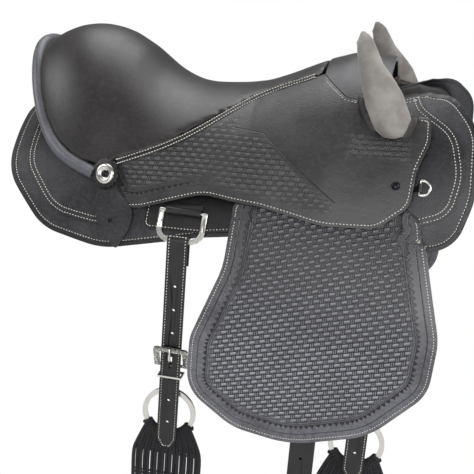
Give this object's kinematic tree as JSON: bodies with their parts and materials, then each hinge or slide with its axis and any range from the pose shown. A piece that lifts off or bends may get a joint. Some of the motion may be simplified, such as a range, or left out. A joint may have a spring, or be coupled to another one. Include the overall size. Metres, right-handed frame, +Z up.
{
  "type": "australian stock saddle",
  "caption": "Black leather stock saddle with dished seat, suede knee pads, stamped swinging fenders, stirrups, and a string girth hung from its rigging dees.",
  "frame": {"origin": "on the centre plane at the ridge line of the rack or horse's back, below the lowest part of the seat", "axes": "+X to the pommel, +Z up, off side (the side the girth hangs on) faces -Y"},
  "size_m": [0.7782, 0.6338, 1.0619],
  "materials": {
    "black_leather": "grained, dyed black",
    "pleated_leather": "soft, pleated",
    "seat_leather": "smooth, dyed black",
    "suede": "suede nap",
    "wool_lining": "felted wool",
    "tree_wood": "plain",
    "foam": "dense felt",
    "nickel": "bright nickel plate",
    "screw_steel": "black oxide",
    "stirrup_steel": "satin",
    "rubber": "ribbed",
    "cotton_string": "dyed cotton string"
  },
  "bodies": {
    "saddle": {"breast_dee_chapes": "black_leather", "cantle_band": "black_leather", "cantle_board": "tree_wood", "conchos": "nickel", "dee_chapes": "black_leather", "drop_tab_left": "black_leather", "drop_tab_right": "black_leather", "fork_arch": "tree_wood", "ground_seat": "foam", "knee_pad_gusset_left": "pleated_leather", "knee_pad_gusset_right": "pleated_leather", "knee_pad_left": "suede", "knee_pad_right": "suede", "panel_left": "wool_lining", "panel_right": "wool_lining", "pommel_cover": "black_leather", "rigging_plate_left": "black_leather", "rigging_plate_right": "black_leather", "rosettes": "black_leather", "screws": "screw_steel", "seat_cushion": "seat_leather", "side_jockey_left": "black_leather", "side_jockey_right": "black_leather", "skirt_left": "black_leather", "skirt_right": "black_leather", "stirrup_bars": "stirrup_steel", "tree_bars": "tree_wood", "upper_skirt_left": "black_leather", "upper_skirt_right": "black_leather"},
    "rigging_right": {"rear_dee_right": "nickel", "front_dee_right": "nickel"},
    "girth_straps": {"rear_billet_right": "black_leather", "front_billet_right": "black_leather", "rear_buckle": "nickel", "front_buckle": "nickel", "keepers": "nickel", "girth_chapes": "black_leather"},
    "rear_tongue": {"rear_tongue": "nickel"},
    "front_tongue": {"front_tongue": "nickel"},
    "girth": {"girth_rings": "nickel", "girth": "cotton_string"},
    "rear_dee_left": {"rear_dee_left": "nickel"},
    "front_dee_left": {"front_dee_left": "nickel"},
    "rear_billet_left": {"rear_billet_left": "black_leather"},
    "front_billet_left": {"front_billet_left": "black_leather"},
    "fender_neck_right": {"fender_neck_right": "black_leather"},
    "fender_right": {"fender_right": "black_leather", "stirrup_leather_right": "black_leather"},
    "stirrup_right": {"stirrup_iron_right": "stirrup_steel", "tread_pad_right": "rubber"},
    "breast_dee_right": {"breast_dee_right": "nickel"},
    "fender_neck_left": {"fender_neck_left": "black_leather"},
    "fender_left": {"fender_left": "black_leather", "stirrup_leather_left": "black_leather"},
    "stirrup_left": {"stirrup_iron_left": "stirrup_steel", "tread_pad_left": "rubber"},
    "breast_dee_left": {"breast_dee_left": "nickel"}
  },
  "joints": [
    {"name": "rigging_swing_right", "type": "hinge", "parent": "saddle", "child": "rigging_right", "pos_m": [0.002, -0.24012, -0.084], "axis": [-1, -0.0067, 0], "range_deg": [0, 1.4]},
    {"name": "girth_straps_swing", "type": "hinge", "parent": "rigging_right", "child": "girth_straps", "pos_m": [0.002, -0.26088, -0.12505], "axis": [-0.999, -0.0433, 0.0128], "range_deg": [-5, 1.4]},
    {"name": "girth_swing", "type": "hinge", "parent": "girth_straps", "child": "girth", "pos_m": [0.00192, -0.25898, -0.38828], "axis": [-0.9991, -0.0433, 0], "range_deg": [-9, 1]},
    {"name": "rear_tongue_lift", "type": "hinge", "parent": "girth_straps", "child": "rear_tongue", "pos_m": [0.00192, -0.25898, -0.3395], "axis": [0.9991, 0.0433, 0], "range_deg": [0, 25]},
    {"name": "front_tongue_lift", "type": "hinge", "parent": "girth_straps", "child": "front_tongue", "pos_m": [0.31192, -0.24556, -0.3395], "axis": [0.9991, 0.0433, 0], "range_deg": [0, 25]},
    {"name": "rear_dee_swing_left", "type": "hinge", "parent": "saddle", "child": "rear_dee_left", "pos_m": [0.002, 0.24012, -0.084], "axis": [1, 0, 0], "range_deg": [0, 90]},
    {"name": "front_dee_swing_left", "type": "hinge", "parent": "saddle", "child": "front_dee_left", "pos_m": [0.312, 0.23805, -0.084], "axis": [1, 0, 0], "range_deg": [0, 6]},
    {"name": "rear_billet_swing_left", "type": "hinge", "parent": "rear_dee_left", "child": "rear_billet_left", "pos_m": [0.002, 0.26088, -0.12505], "axis": [0.9991, -0.0433, 0], "range_deg": [-8, 40]},
    {"name": "front_billet_swing_left", "type": "hinge", "parent": "front_dee_left", "child": "front_billet_left", "pos_m": [0.312, 0.24746, -0.12903], "axis": [0.9991, -0.0433, 0], "range_deg": [-8, 6]},
    {"name": "fender_swing_right", "type": "hinge", "parent": "saddle", "child": "fender_neck_right", "pos_m": [0.232, -0.19721, 0], "axis": [0, -0.891, 0.454], "range_deg": [-7, 7]},
    {"name": "fender_lift_right", "type": "hinge", "parent": "fender_neck_right", "child": "fender_right", "pos_m": [0.232, -0.252, -0.08], "axis": [-1, 0, 0], "range_deg": [0, 60]},
    {"name": "stirrup_swing_right", "type": "hinge", "parent": "fender_right", "child": "stirrup_right", "pos_m": [0.232, -0.29588, -0.588], "axis": [-1, 0, 0], "range_deg": [-8, 60]},
    {"name": "breast_dee_swing_right", "type": "hinge", "parent": "saddle", "child": "breast_dee_right", "pos_m": [0.354, -0.21111, -0.005], "axis": [0, -0.3967, -0.918], "range_deg": [0, 80]},
    {"name": "fender_swing_left", "type": "hinge", "parent": "saddle", "child": "fender_neck_left", "pos_m": [0.232, 0.19721, 0], "axis": [0, 0.891, 0.454], "range_deg": [-7, 7]},
    {"name": "fender_lift_left", "type": "hinge", "parent": "fender_neck_left", "child": "fender_left", "pos_m": [0.232, 0.252, -0.08], "axis": [1, 0, 0], "range_deg": [0, 60]},
    {"name": "stirrup_swing_left", "type": "hinge", "parent": "fender_left", "child": "stirrup_left", "pos_m": [0.232, 0.29588, -0.588], "axis": [1, 0, 0], "range_deg": [-30, 60]},
    {"name": "breast_dee_swing_left", "type": "hinge", "parent": "saddle", "child": "breast_dee_left", "pos_m": [0.354, 0.21111, -0.005], "axis": [0, -0.3967, 0.918], "range_deg": [0, 80]}
  ]
}
